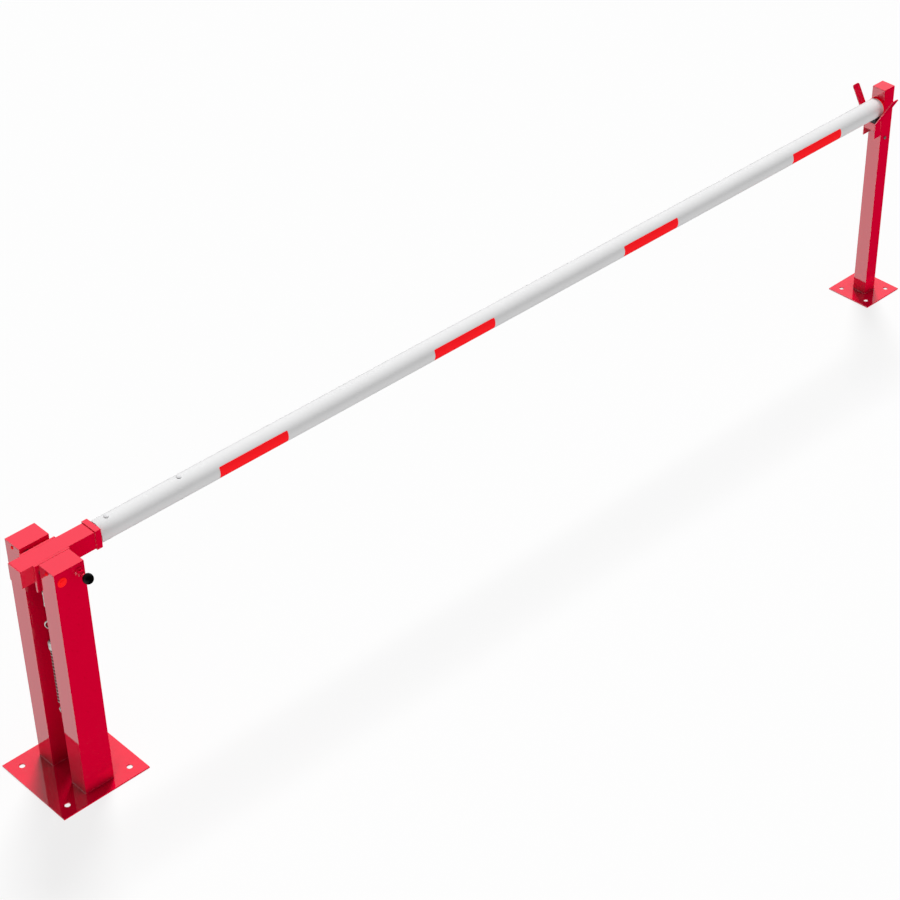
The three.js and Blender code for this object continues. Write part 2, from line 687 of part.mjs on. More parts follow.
add('post_cross_bolt', crossBoltBody(), zinc);
add('post_cross_nut', crossNut(), zinc);

export default gate;
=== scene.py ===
"""Looks of a parking barrier gate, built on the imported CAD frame.

+X runs along the closed boom, +Z is up and -Y is the side of the locking plunger. The camera,
the lights and the materials are in metres. The piece builders work in millimetres.
"""
import json
import math

import bpy
from mathutils import Matrix, Vector


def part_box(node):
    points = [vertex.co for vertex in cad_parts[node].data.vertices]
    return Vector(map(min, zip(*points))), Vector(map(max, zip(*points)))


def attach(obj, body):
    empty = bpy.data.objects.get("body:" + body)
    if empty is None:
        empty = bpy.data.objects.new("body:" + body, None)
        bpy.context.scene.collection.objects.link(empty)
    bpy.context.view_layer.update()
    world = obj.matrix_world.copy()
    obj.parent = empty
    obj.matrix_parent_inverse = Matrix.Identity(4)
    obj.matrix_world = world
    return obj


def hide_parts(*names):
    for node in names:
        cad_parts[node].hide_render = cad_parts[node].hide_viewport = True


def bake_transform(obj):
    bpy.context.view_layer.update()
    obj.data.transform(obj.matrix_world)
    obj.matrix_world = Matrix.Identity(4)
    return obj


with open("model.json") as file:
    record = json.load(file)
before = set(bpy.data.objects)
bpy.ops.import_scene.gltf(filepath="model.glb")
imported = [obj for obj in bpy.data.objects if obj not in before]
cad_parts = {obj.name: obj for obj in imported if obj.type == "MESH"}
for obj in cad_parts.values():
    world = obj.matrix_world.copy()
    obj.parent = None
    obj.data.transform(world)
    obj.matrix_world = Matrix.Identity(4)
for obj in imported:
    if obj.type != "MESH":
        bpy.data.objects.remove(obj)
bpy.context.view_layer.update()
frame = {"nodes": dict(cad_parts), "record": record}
scene = bpy.context.scene

# ------------------------------------------------------------------ camera, floor and light

CAMERA_AT = Vector((-2.897, -4.957, 5.419))
CAMERA_AIM = Vector((1.5727, -0.1002, 0.5))
CAMERA_ROLL = math.radians(-1.265)
LENS_MM = 96.2
SENSOR_MM = 36.0
CAMERA_REACH = 1000.0

FLOOR_SIZE = 600.0
FLOOR_DROP = 0.0004  # keeps the floor just clear of the plates' undersides
FLOOR_COLOUR = 0.15
FLOOR_GLOW = 0.80

KEY_FROM = Vector((0.38, 0.38, 0.84))
KEY_ENERGY = 3.4
KEY_ANGLE = math.radians(16)

# Levels of the studio, by the unit direction that a ray looks in.
STUDIO_WHITE = 0.97  # what the camera sees above the floor's far edge
SOFT_LEVEL = 0.52
SOFT_TILT = Vector((-0.02, -0.42, -0.30))  # change of the soft light along each axis
CARD_SLOPE, CARD_START, CARD_MOST = -4.4, -0.45, 2.6  # change along x, level at x = 0, brightest
CEILING_FRONT, CEILING_FROM, CEILING_TO = 0.03, -0.45, 0.25  # front level, and its y range
HORIZON_FROM, HORIZON_TO = -0.05, 0.12  # the z range where the card gives way to the ceiling


def make_camera():
    data = bpy.data.cameras.new("camera")
    data.lens = LENS_MM
    data.sensor_width = SENSOR_MM
    data.clip_end = CAMERA_REACH
    camera = bpy.data.objects.new("camera", data)
    scene.collection.objects.link(camera)
    look = (CAMERA_AIM - CAMERA_AT).to_track_quat("-Z", "Y").to_matrix().to_4x4()
    camera.matrix_world = (
        Matrix.Translation(CAMERA_AT) @ look @ Matrix.Rotation(CAMERA_ROLL, 4, "Z")
    )
    scene.camera = camera


class Graph:
    """A node tree with short calls. Most of them return the new node's output."""

    def __init__(self, tree):
        self.tree = tree
        tree.nodes.clear()

    def node(self, kind, **settings):
        node = self.tree.nodes.new(kind)
        for key, value in settings.items():
            setattr(node, key, value)
        return node

    def feed(self, node, **inputs):
        """Sets or links inputs, by name with _ for a space, or by place as i0, i1 and so on."""
        for key, value in inputs.items():
            by_place = key[0] == "i" and key[1:].isdigit()
            socket = node.inputs[int(key[1:]) if by_place else key.replace("_", " ")]
            if isinstance(value, bpy.types.NodeSocket):
                self.tree.links.new(value, socket)
            else:
                socket.default_value = value
        return node

    def math(self, operation, a, b=0.0, c=0.0, clamp=False):
        node = self.node("ShaderNodeMath", operation=operation, use_clamp=clamp)
        return self.feed(node, i0=a, i1=b, i2=c).outputs[0]

    def noise(self, vector, scale, detail=3.0, roughness=0.55):
        node = self.node("ShaderNodeTexNoise")
        self.feed(node, Vector=vector, Scale=scale, Detail=detail, Roughness=roughness)
        return node.outputs["Fac"]

    def spread(self, value, low, high, to_low=0.0, to_high=1.0):
        node = self.node("ShaderNodeMapRange", interpolation_type="SMOOTHSTEP")
        self.feed(node, i0=value, i1=low, i2=high, i3=to_low, i4=to_high)
        return node.outputs[0]

    def mix(self, factor, a, b):
        node = self.node("ShaderNodeMix", data_type="RGBA")
        self.feed(node, i0=factor, i6=a, i7=b)
        return node.outputs[2]

    def mix_value(self, factor, a, b):
        node = self.node("ShaderNodeMix", data_type="FLOAT")
        self.feed(node, i0=factor, i2=a, i3=b)
        return node.outputs[0]

    def scaled(self, vector, x, y, z):
        node = self.node("ShaderNodeVectorMath", operation="MULTIPLY")
        return self.feed(node, i0=vector, i1=(x, y, z)).outputs[0]

    def shaded(self, colour, shade):
        node = self.node("ShaderNodeVectorMath", operation="SCALE")
        return self.feed(node, i0=colour, Scale=shade).outputs[0]

    def split(self, vector):
        return self.feed(self.node("ShaderNodeSeparateXYZ"), Vector=vector).outputs

    def bump(self, height, distance, normal=None, strength=1.0):
        node = self.node("ShaderNodeBump")
        self.feed(node, Strength=strength, Distance=distance, Height=height)
        if normal is not None:
            self.tree.links.new(normal, node.inputs["Normal"])
        return node.outputs[0]

    def place(self):
        return self.node("ShaderNodeTexCoord").outputs["Object"]


def rgb(r, g, b):
    return (r, g, b, 1.0)


WHITE = rgb(1.0, 1.0, 1.0)


def make_world():
    """A soft white studio. Mirrored rays see a card and a ceiling in place of the soft light."""
    world = bpy.data.worlds.new("studio")
    world.use_nodes = True
    scene.world = world
    g = Graph(world.node_tree)
    direction = g.node("ShaderNodeTexCoord").outputs["Generated"]
    x, y, z = g.split(direction)

    # soft light: stronger from the front (-Y) and from low down, where the key doesn't reach
    soft = g.math("MULTIPLY_ADD", z, SOFT_TILT.z, SOFT_LEVEL)
    soft = g.math("MULTIPLY_ADD", y, SOFT_TILT.y, soft)
    soft = g.math("MULTIPLY_ADD", x, SOFT_TILT.x, soft)
    soft = g.math("MAXIMUM", soft, 0.0)

    # mirrored light: a white card low on the -X side, and a ceiling that fades towards the front
    card = g.math("MULTIPLY_ADD", x, CARD_SLOPE, CARD_START)
    card = g.math("MINIMUM", g.math("MAXIMUM", card, 0.0), CARD_MOST)
    ceiling = g.spread(y, CEILING_FROM, CEILING_TO, CEILING_FRONT, 1.0)
    mirrored = g.mix_value(g.spread(z, HORIZON_FROM, HORIZON_TO), card, ceiling)

    path = g.node("ShaderNodeLightPath")
    level = g.mix_value(path.outputs["Is Glossy Ray"], soft, mirrored)
    seen = g.mix_value(path.outputs["Is Camera Ray"], level, STUDIO_WHITE)
    background = g.feed(g.node("ShaderNodeBackground"), Strength=seen)
    background.inputs["Color"].default_value = WHITE
    out = g.node("ShaderNodeOutputWorld")
    g.tree.links.new(background.outputs[0], out.inputs[0])


def make_floor():
    half = FLOOR_SIZE / 2
    mesh = bpy.data.meshes.new("floor")
    corners = [(-half, -half, 0), (half, -half, 0), (half, half, 0), (-half, half, 0)]
    mesh.from_pydata(corners, [], [(0, 1, 2, 3)])
    floor = bpy.data.objects.new("floor", mesh)
    floor.location.z = -FLOOR_DROP
    scene.collection.objects.link(floor)
    material = bpy.data.materials.new("floor")
    material.use_nodes = True
    g = Graph(material.node_tree)
    bsdf = g.node("ShaderNodeBsdfPrincipled")
    g.feed(bsdf, Roughness=0.9, Specular_IOR_Level=0.0, Emission_Strength=FLOOR_GLOW)
    bsdf.inputs["Base Color"].default_value = rgb(FLOOR_COLOUR, FLOOR_COLOUR, FLOOR_COLOUR)
    bsdf.inputs["Emission Color"].default_value = WHITE
    out = g.node("ShaderNodeOutputMaterial")
    g.tree.links.new(bsdf.outputs[0], out.inputs[0])
    mesh.materials.append(material)
    # the gate is lit and mirrored by the studio all round it, from below as well, not by the floor
    floor.visible_glossy = False
    floor.visible_diffuse = False
    floor.visible_shadow = False


def make_key_light():
    """A broad, soft key high behind the gate, on the +X +Y side."""
    data = bpy.data.lights.new("key", "SUN")
    data.energy = KEY_ENERGY
    data.angle = KEY_ANGLE
    key = bpy.data.objects.new("key", data)
    key.rotation_euler = (-KEY_FROM).to_track_quat("-Z", "Y").to_euler()
    scene.collection.objects.link(key)
    key.visible_glossy = False


make_camera()
make_world()
make_floor()
make_key_light()
scene.view_settings.view_transform = "Standard"

# ------------------------------------------------------------------ materials


def new_material(name):
    material = bpy.data.materials.new(name)
    material.use_nodes = True
    g = Graph(material.node_tree)
    bsdf = g.node("ShaderNodeBsdfPrincipled")
    out = g.node("ShaderNodeOutputMaterial")
    g.tree.links.new(bsdf.outputs[0], out.inputs[0])
    return material, g, bsdf


# how far a recess looks for what shades it, and the heights where the painted recess shade starts
# to fade and ends
RECESS_REACH = 0.3
SHADE_FULL_BELOW, SHADE_GONE_ABOVE = 0.72, 0.82
CHIP_DEPTH = 0.00003
# strength of the painted shade in metal recesses
METAL_RECESS_SHADE = 0.8
DUST = rgb(0.34, 0.30, 0.26)
# near black that metal recesses are darkened to, as painted shade
METAL_SHADE_COLOUR = rgb(0.03, 0.02, 0.02)


def edge_mask(g, radius, place):
    """1 along bent edges, broken up by noise."""
    round_normal = g.feed(g.node("ShaderNodeBevel", samples=4), Radius=radius).outputs[0]
    flat_normal = g.node("ShaderNodeNewGeometry").outputs["Normal"]
    dot = g.node("ShaderNodeVectorMath", operation="DOT_PRODUCT")
    g.feed(dot, i0=round_normal, i1=flat_normal)
    bend = g.math("SUBTRACT", 1.0, dot.outputs["Value"])
    chips = g.spread(g.noise(place, 260.0, 4.0, 0.7), 0.58, 0.68)
    return g.math("MULTIPLY", g.spread(bend, 0.02, 0.16), chips)


def occlusion_shade_mask(g, upward_shade=0.0):
    """Mask of painted shade, from ambient occlusion: 0 in the open, rising to 1 in gaps that light
    hardly reaches. Its second argument adds painted shade on upward faces.
    """
    occlusion = g.node("ShaderNodeAmbientOcclusion", samples=6)
    open_sky = g.feed(occlusion, Distance=RECESS_REACH).outputs["AO"]
    upward = g.split(g.node("ShaderNodeNewGeometry").outputs["Normal"])[2]
    open_sky = g.math("MULTIPLY_ADD", g.math("MAXIMUM", upward, 0.0), -upward_shade, open_sky)
    return g.spread(open_sky, 0.30, 0.70, 1.0, 0.0)


def coated(
    name, colour, rough, coat, coat_rough, worn,
    coat_ior=1.5, peel=0.00004, dust=0.10, streak=0.0, specular=0.2, painted_recess_shade=0.0,
):
    """Powder coat: orange peel, faint mottle, dust low down, painted shade in recesses and chipped
    edges.
    """
    material, g, bsdf = new_material(name)
    place = g.place()
    height = g.split(place)[2]
    mottle = g.noise(place, 9.0, 4.0)
    grain = g.noise(place, 700.0, 2.0)
    shade = g.math("MULTIPLY_ADD", mottle, 0.07, 0.945)
    shade = g.math("MULTIPLY_ADD", grain, 0.04, shade)

    low = g.spread(height, 0.0, 0.35, 1.0, 0.12)
    speckle = g.spread(g.noise(place, 46.0, 6.0, 0.72), 0.46, 0.78)
    dusty = g.math("MULTIPLY", g.math("MULTIPLY", speckle, low), dust)
    base = g.mix(dusty, g.shaded(colour, shade), DUST)
    # painted shade: recesses, and upward faces beside them, darken towards a fifth of the colour,
    # fading out with height
    if painted_recess_shade:
        recess_darkening = g.math("MULTIPLY", occlusion_shade_mask(g, upward_shade=0.12), painted_recess_shade)
        recess_darkening = g.math("MULTIPLY", recess_darkening, g.spread(height, SHADE_FULL_BELOW, SHADE_GONE_ABOVE, 1.0, 0.0))
        base = g.mix(recess_darkening, base, rgb(*(0.2 * c for c in colour)))
    chipped = edge_mask(g, 0.0011, place)
    base = g.mix(chipped, base, worn)

    rub = g.noise(g.scaled(place, 60.0, 420.0, 420.0), 1.0, 3.0)
    roughness = g.math("MULTIPLY_ADD", rub, 0.12, rough - 0.06)
    roughness = g.math("MULTIPLY_ADD", dusty, 0.6, roughness)
    roughness = g.math("MULTIPLY_ADD", chipped, 0.3, roughness, clamp=True)
    coat_roughness = g.math("MULTIPLY_ADD", dusty, 0.5, coat_rough)
    coat_roughness = g.math("MULTIPLY_ADD", g.spread(rub, 0.55, 0.8), 0.03, coat_roughness)

    normal = g.bump(g.noise(place, 420.0, 2.0, 0.4), peel)
    if streak:
        drawn = g.noise(g.scaled(place, 3.0, 900.0, 900.0), 1.0, 2.0)
        normal = g.bump(drawn, streak, normal)
    normal = g.bump(chipped, -CHIP_DEPTH, normal)
    g.feed(
        bsdf,
        Base_Color=base,
        Roughness=roughness,
        Specular_IOR_Level=specular,
        Coat_Weight=coat,
        Coat_Roughness=coat_roughness,
        Coat_IOR=coat_ior,
        Normal=normal,
        Coat_Normal=normal,
    )
    return material


def moulded(name, colour, rough, skin, specular=0.5, painted_glow=0.0):
    """Moulded plastic or rubber with a fine skin grain and a little flow mottle."""
    material, g, bsdf = new_material(name)
    place = g.place()
    flow = g.noise(g.scaled(place, 1.0, 1.0, 2.6), 60.0, 3.0)
    grain = g.noise(place, 2400.0, 3.0, 0.6)
    shade = g.math("MULTIPLY_ADD", flow, 0.16, 0.90)
    shade = g.math("MULTIPLY_ADD", grain, 0.05, shade)
    tone = g.shaded(colour, shade)
    scuffs = g.spread(g.noise(g.scaled(place, 900.0, 900.0, 90.0), 1.0, 2.0), 0.62, 0.75)
    roughness = g.math("MULTIPLY_ADD", scuffs, 0.18, rough)
    roughness = g.math("MULTIPLY_ADD", grain, 0.08, roughness, clamp=True)
    # the emission is a painted glow in the plastic's own tone; the part is no lamp
    g.feed(
        bsdf,
        Base_Color=tone,
        Roughness=roughness,
        Specular_IOR_Level=specular,
        Normal=g.bump(grain, skin),
        Emission_Color=tone,
        Emission_Strength=painted_glow,
    )
    return material


def metal(name, colour, dark, rough=0.36, spangle=160.0, drawn=(1.0, 1.0, 1.0), tarnish=0.35):
    """Plated metal: crystal spangle, drawn lines, tarnish in patches and painted shade in recesses.
    """
    material, g, bsdf = new_material(name)
    place = g.place()
    cells = g.node("ShaderNodeTexVoronoi", feature="F1")
    g.feed(cells, Vector=place, Scale=spangle)
    crystal = g.feed(g.node("ShaderNodeSeparateColor"), Color=cells.outputs["Color"]).outputs[0]
    lines = g.noise(g.scaled(place, *drawn), 1400.0, 2.0)
    patch = g.spread(g.noise(place, 75.0, 5.0, 0.68), 0.48, 0.72)
    stain = g.math("MULTIPLY", patch, tarnish)
    tone = g.mix(g.math("MULTIPLY", crystal, 0.22), colour, dark)
    tone = g.mix(stain, tone, dark)
    # painted shade: recesses darken towards near black
    tone = g.mix(g.math("MULTIPLY", occlusion_shade_mask(g), METAL_RECESS_SHADE), tone, METAL_SHADE_COLOUR)
    roughness = g.math("MULTIPLY_ADD", crystal, 0.12, rough)
    roughness = g.math("MULTIPLY_ADD", stain, 0.35, roughness)
    roughness = g.math("MULTIPLY_ADD", lines, 0.10, roughness, clamp=True)
    g.feed(
        bsdf,
        Base_Color=tone,
        Metallic=g.math("MULTIPLY_ADD", stain, -0.35, 0.82),
        Roughness=roughness,
        Normal=g.bump(lines, 0.00003),
    )
    return material


def reflective_film(name, axis_z, radius, film_painted_glow, prism_pitch=0.0011, cell_pitch=0.0105):
    """Retroreflective film: a printed red skin over rows of tiny prisms, with sealed cell walls."""
    material, g, bsdf = new_material(name)
    place = g.place()
    along, across, height = g.split(place)
    angle = g.math("ARCTAN2", across, g.math("SUBTRACT", height, axis_z))
    around = g.math("MULTIPLY", angle, radius)

    def ridges(turn, pitch):
        slope = g.math("MULTIPLY", along, math.cos(turn) * math.pi / pitch)
        wave = g.math("MULTIPLY_ADD", around, math.sin(turn) * math.pi / pitch, slope)
        return g.math("ABSOLUTE", g.math("SINE", wave))

    def lattice(pitch):
        three = [ridges(math.radians(turn), pitch) for turn in (0, 60, 120)]
        return g.math("MINIMUM", g.math("MINIMUM", three[0], three[1]), three[2])

    prism = g.spread(lattice(prism_pitch), 0.0, 0.35)
    wall = g.spread(lattice(cell_pitch), 0.03, 0.10)
    mottle = g.noise(place, 30.0, 3.0)
    tone = g.mix(wall, rgb(0.80, 0.003, 0.009), rgb(1.0, 0.006, 0.012))
    shade = g.math("MULTIPLY_ADD", prism, 0.10, 0.90)
    shade = g.math("MULTIPLY_ADD", mottle, 0.08, shade)
    tone = g.shaded(tone, shade)
    # painted glow: an emission in the film's own tone makes it look brighter than plain paint
    g.feed(
        bsdf,
        Base_Color=tone,
        Roughness=g.math("MULTIPLY_ADD", prism, -0.10, 0.42),
        Specular_IOR_Level=0.05,
        Coat_Weight=0.3,
        Coat_Roughness=0.15,
        Normal=g.bump(wall, 0.00006, strength=0.7),
        Emission_Color=tone,
        Emission_Strength=film_painted_glow,
    )
    return material


BOOM_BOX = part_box("boom_tube")
BOOM_Z = (BOOM_BOX[0].z + BOOM_BOX[1].z) / 2 * 1000
BOOM_R = (BOOM_BOX[1].z - BOOM_BOX[0].z) / 2 * 1000

# heights of the reflective film's inner and outer side over the tube, and of its CAD node
FILM_IN, FILM_OUT, FILM_CAD = 0.12, 0.72, 0.8

RED = (0.79, 0.0, 0.034)

LOOKS = {
    "red_paint": (
        coated,
        dict(
            colour=RED, rough=0.34, coat=1.0, coat_rough=0.012, coat_ior=1.6,
            # the last setting on the next line is the strength of the painted shade in recesses
            worn=rgb(0.50, 0.02, 0.05), peel=0.000012, dust=0.025, specular=0.0, painted_recess_shade=0.8,
        ),
    ),
    "white_boom": (
        coated,
        dict(
            colour=(0.715, 0.715, 0.718), rough=0.36, coat=0.12, coat_rough=0.10,
            worn=rgb(0.5, 0.5, 0.5), peel=0.00003, streak=0.000012, specular=0.05,
        ),
    ),
    "white_bolt": (
        coated,
        dict(
            colour=(0.68, 0.68, 0.69), rough=0.34, coat=0.2, coat_rough=0.15,
            worn=rgb(0.45, 0.45, 0.45),
        ),
    ),
    "red_plastic": (
        moulded,
        # the red plastic gets a faint painted glow so that it looks brighter than the paint
        dict(colour=(1.0, 0.006, 0.009), rough=0.38, skin=0.00003, specular=0.08, painted_glow=0.18),
    ),
    "reflective_red": (
        reflective_film,
        # strength of the film's painted glow
        dict(axis_z=BOOM_Z / 1000, radius=(BOOM_R + FILM_CAD) / 1000, film_painted_glow=0.16),
    ),
    "black_plastic": (
        moulded,
        dict(colour=(0.0016, 0.0014, 0.0014), rough=0.26, skin=0.000008, specular=0.05),
    ),
    "zinc_steel": (metal, dict(colour=rgb(0.40, 0.39, 0.37), dark=rgb(0.17, 0.16, 0.15))),
    "spring_wire": (
        metal,
        dict(
            colour=rgb(0.36, 0.35, 0.34), dark=rgb(0.13, 0.12, 0.11),
            rough=0.38, spangle=420.0, drawn=(1.0, 1.0, 0.4), tarnish=0.5,
        ),
    ),
    "bronze": (metal, dict(colour=rgb(0.50, 0.30, 0.11), dark=rgb(0.24, 0.14, 0.05))),
    "nylon": (moulded, dict(colour=(0.022, 0.021, 0.022), rough=0.5, skin=0.00003)),
    "rubber": (moulded, dict(colour=(0.035, 0.035, 0.036), rough=0.72, skin=0.00009, specular=0.3)),
}
MATERIALS = {slot: make(slot, **look) for slot, (make, look) in LOOKS.items()}

# ------------------------------------------------------------------ carried-over CAD nodes


def round_edges(node, width_mm):
    """Rounds the sharp edges of a CAD node's flat-sided shape, by modifiers only."""
    obj = frame["nodes"][node]
    weld = obj.modifiers.new("weld", "WELD")
    weld.merge_threshold = 0.00001
    flats = obj.modifiers.new("flats", "DECIMATE")
    flats.decimate_type = "DISSOLVE"
    flats.angle_limit = math.radians(0.6)
    bevel = obj.modifiers.new("edges", "BEVEL")
    bevel.width = width_mm / 1000
    bevel.segments = 3
    bevel.limit_method = "ANGLE"
    bevel.angle_limit = math.radians(40)
    obj.modifiers.new("normals", "WEIGHTED_NORMAL").keep_sharp = True


def smooth(mesh, degrees=38):
    """Smooth shading, kept sharp at edges that bend by more than degrees."""
    mesh.shade_smooth()
    mesh.set_sharp_from_angle(angle=math.radians(degrees))


for row in frame["record"]["subparts"]:
    node = frame["nodes"][row["node"]]
    if "custom_normal" in node.data.attributes:
        node.data.attributes.remove(node.data.attributes["custom_normal"])
    smooth(node.data)
    for held in node.material_slots:
        held.material = MATERIALS[row["material_slot"]]

EDGES_MM = {
    "pivot_base_plate": 0.8,
    "catch_base_plate": 0.8,
    "front_pillar": 1.1,
    "rear_pillar": 1.1,
    "front_pillar_cap": 0.9,
    "rear_pillar_cap": 0.9,
    "catch_post": 1.1,
    "catch_post_cap": 0.9,
    "bracket_tube": 0.8,
    "bracket_rear_cap": 0.9,
    "bracket_collar": 0.5,
    "front_cheek": 0.5,
    "rear_cheek": 0.5,
    "spring_lug": 0.6,
    "front_fork_side": 0.6,
    "rear_fork_side": 0.6,
    "cradle_front_plate": 0.6,
    "cradle_shelf": 0.6,
    "cradle_pad": 0.8,
}
for name, width in EDGES_MM.items():
    round_edges(name, width)

# ------------------------------------------------------------------ mesh building


def aimed(at, direction):
    """Local +Z points along direction, from the point at."""
    return Matrix.Translation(at) @ Vector(direction).to_track_quat("Z", "Y").to_matrix().to_4x4()


def build(name, verts, faces, matrix=None):
    mesh = bpy.data.meshes.new(name)
    placed = [((matrix @ Vector(v)) if matrix else Vector(v)) / 1000 for v in verts]
    mesh.from_pydata(placed, [], faces)
    mesh.validate()
    mesh.update()
    return mesh


def lathe(name, profile, matrix, sides=64, ring=False):
    """Turns (radius, height) points about local Z. A ring's profile closes on itself."""
    verts, rows = [], []
    for radius, height in profile:
        if radius < 1e-6:
            rows.append([len(verts)])
            verts.append((0, 0, height))
            continue
        rows.append(list(range(len(verts), len(verts) + sides)))
        for k in range(sides):
            angle = 2 * math.pi * k / sides
            verts.append((radius * math.cos(angle), radius * math.sin(angle), height))
    faces = []
    pairs = list(zip(rows, rows[1:]))
    if ring:
        pairs.append((rows[-1], rows[0]))
    for low, high in pairs:
        for k in range(sides):
            n = (k + 1) % sides
            if len(low) == 1 and len(high) > 1:
                faces.append((low[0], high[n], high[k]))
            elif len(high) == 1 and len(low) > 1:
                faces.append((low[k], low[n], high[0]))
            elif len(low) > 1:
                faces.append((low[k], low[n], high[n], high[k]))
    return build(name, verts, faces, matrix)


def sweep(name, points, radii, sides=16, closed=False, matrix=None):
    """A round wire along points, with one radius for each point."""
    path = [Vector(p) for p in points]
    count = len(path)
    tangents = []
    for i in range(count):
        before = path[i - 1] if closed or i else path[0]
        after = path[(i + 1) % count] if closed or i < count - 1 else path[-1]
        tangents.append((after - before).normalized())
    across = tangents[0].orthogonal().normalized()
    verts, faces = [], []
    for i in range(count):
        if i:
            across = tangents[i - 1].rotation_difference(tangents[i]) @ across
        across = (across - tangents[i] * across.dot(tangents[i])).normalized()
        other = tangents[i].cross(across)
        for k in range(sides):
            angle = 2 * math.pi * k / sides
            out = across * math.cos(angle) + other * math.sin(angle)
            verts.append(path[i] + out * radii[i])
    steps = count if closed else count - 1
    for i in range(steps):
        a, b = i * sides, ((i + 1) % count) * sides
        for k in range(sides):
            n = (k + 1) % sides
            faces.append((a + k, a + n, b + n, b + k))
    if not closed:
        faces.append(tuple(reversed(range(sides))))
        faces.append(tuple(range((count - 1) * sides, count * sides)))
    return build(name, verts, faces, matrix)


def merged(name, *meshes):
    verts, faces = [], []
    for mesh in meshes:
        start = len(verts)
        verts.extend(v.co.copy() for v in mesh.vertices)
        faces.extend(tuple(start + i for i in p.vertices) for p in mesh.polygons)
        bpy.data.meshes.remove(mesh)
    whole = bpy.data.meshes.new(name)
    whole.from_pydata(verts, [], faces)
    whole.update()
    return whole


def carve(mesh, cutter):
    """Cuts the cutter mesh out of mesh."""
    obj = bpy.data.objects.new("carved", mesh)
    tool = bpy.data.objects.new("cutter", cutter)
    scene.collection.objects.link(obj)
    scene.collection.objects.link(tool)
    cut = obj.modifiers.new("cut", "BOOLEAN")
    cut.operation = "DIFFERENCE"
    cut.object = tool
    cut.solver = "EXACT"
    depsgraph = bpy.context.evaluated_depsgraph_get()
    result = bpy.data.meshes.new_from_object(obj.evaluated_get(depsgraph))
    bpy.data.objects.remove(obj)
    bpy.data.objects.remove(tool)
    return result


def show(name, mesh, slot, body, *nodes, degrees=38, bevel_mm=0.0):
    """Puts a piece in the scene on its body, in place of the CAD nodes it stands for."""
    mesh.name = name
    smooth(mesh, degrees)
    mesh.materials.clear()
    mesh.materials.append(MATERIALS[slot])
    obj = bpy.data.objects.new(name, mesh)
    scene.collection.objects.link(obj)
    if bevel_mm:
        bevel = obj.modifiers.new("edges", "BEVEL")
        bevel.width = bevel_mm / 1000
        bevel.segments = 2
        bevel.limit_method = "ANGLE"
        bevel.angle_limit = math.radians(35)
    if body:
        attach(obj, body)
    if nodes:
        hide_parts(*nodes)
    return obj


def edges(node):
    """The node's lowest and highest corner, in millimetres."""
    low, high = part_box(node)
    return low * 1000, high * 1000


def middle(node):
    low, high = edges(node)
    return (low + high) / 2


def threads(radius, start, end, pitch):
    """Profile points of a thread drawn as rings, from start to end."""
    depth = 0.5 * pitch
    count = max(1, int((end - start) / pitch))
    step = (end - start) / count
    points = []
    for k in range(count):
        points += [(radius - depth, start + k * step), (radius, start + (k + 0.5) * step)]
    points.append((radius - depth, end))
    return points


def hexagon(bore, corner, tall, edge, drop):
    """Profile of a six-sided nut. Its corners slope back over drop to flats cut in by edge."""
    flat = corner * math.cos(math.pi / 6) - edge
    return [(bore, 0), (flat, 0), (corner, drop), (corner, tall - drop), (flat, tall), (bore, tall)]


# ------------------------------------------------------------------ boom


def boom_tube(steps=60):
    low, high = edges("boom_tube")
    long = high.x - low.x
    wall, root_lip, end_lip = 3.0, 2.0, 0.4
    profile = [
        (BOOM_R - wall, 0),
        (BOOM_R - root_lip, 0),
        (BOOM_R - 0.3 * root_lip, 0.3 * root_lip),
        (BOOM_R, root_lip),
    ]
    # rings along the length keep the long faces short
    straight = long - root_lip - end_lip
    profile += [(BOOM_R, root_lip + straight * k / steps) for k in range(1, steps)]
    profile += [(BOOM_R, long - end_lip), (BOOM_R - end_lip, long), (BOOM_R - wall, long)]
    mesh = lathe("boom", profile, aimed((low.x, 0, BOOM_Z), (1, 0, 0)), 128, ring=True)
    show("boom_tube_skin", mesh, "white_boom", "boom", "boom_tube", degrees=30)


def sticker(node, corner=4.0, corner_steps=5, long_steps=30, arc=28):
    """A strip of film round part of the tube, with rounded corners."""
    low, high = edges(node)
    side = -1 if node.startswith("front") else 1
    half = math.asin(min(1.0, (high.z - low.z) / 2 / (BOOM_R + FILM_CAD)))
    long = high.x - low.x
    quarter = [math.pi / 2 * k / corner_steps for k in range(corner_steps + 1)]
    rounded = [corner * (1 - math.cos(angle)) for angle in quarter]
    xs = rounded + [corner + (long - 2 * corner) * k / long_steps for k in range(1, long_steps)]
    xs += [long - x for x in reversed(rounded)]

    verts, faces = [], []
    for radius in (BOOM_R + FILM_OUT, BOOM_R + FILM_IN):
        for x in xs:
            short_by = max(0.0, corner - min(x, long - x))
            cut = corner - math.sqrt(corner**2 - short_by**2)
            reach = half - cut / BOOM_R
            for k in range(arc + 1):
                angle = -reach + 2 * reach * k / arc
                y, z = side * radius * math.cos(angle), radius * math.sin(angle)
                verts.append((low.x + x, y, BOOM_Z + z))

    def add(quad):
        faces.append(quad if side > 0 else tuple(reversed(quad)))

    row, layer = arc + 1, len(xs) * (arc + 1)
    for i in range(len(xs) - 1):
        for k in range(arc):
            a = i * row + k
            quad = (a, a + 1, a + row + 1, a + row)
            add(quad)
            add(tuple(layer + v for v in reversed(quad)))
    rim = list(range(row))
    rim += [i * row + arc for i in range(1, len(xs))]
    rim += [(len(xs) - 1) * row + k for k in range(arc - 1, -1, -1)]
    rim += [i * row for i in range(len(xs) - 2, 0, -1)]
    for a, b in zip(rim, rim[1:] + rim[:1]):
        add((a, layer + a, layer + b, b))
    show(node + "_film", build(node, verts, faces), "reflective_red", "boom", node, degrees=50)


